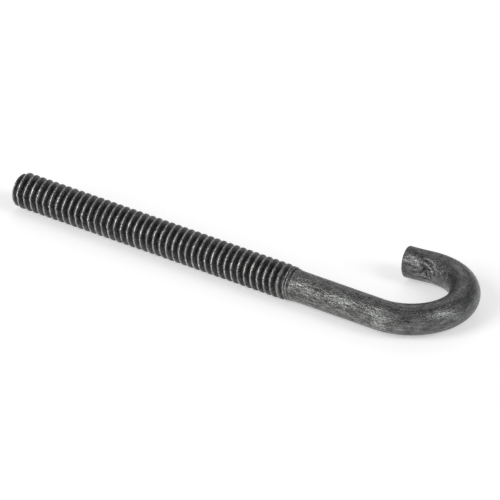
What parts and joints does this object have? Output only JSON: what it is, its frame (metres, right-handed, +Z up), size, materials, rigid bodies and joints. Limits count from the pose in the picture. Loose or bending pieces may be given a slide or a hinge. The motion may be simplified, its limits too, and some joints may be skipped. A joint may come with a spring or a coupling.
{
  "type": "j-bolt",
  "caption": "Steel rod with a rolled thread at one end, bent into an open hook at the other, for tying a part to a bar or anchoring it.",
  "frame": {"origin": "on the surface that the bolt lies on, below the middle of its box", "axes": "+X along the rod from the threaded end to the hook, +Y to the side that the hook turns to, +Z up"},
  "size_m": [0.0819, 0.0234, 0.006],
  "materials": {
    "dark_steel": "satin"
  },
  "bodies": {
    "root": {"j_bolt": "dark_steel"}
  },
  "joints": []
}
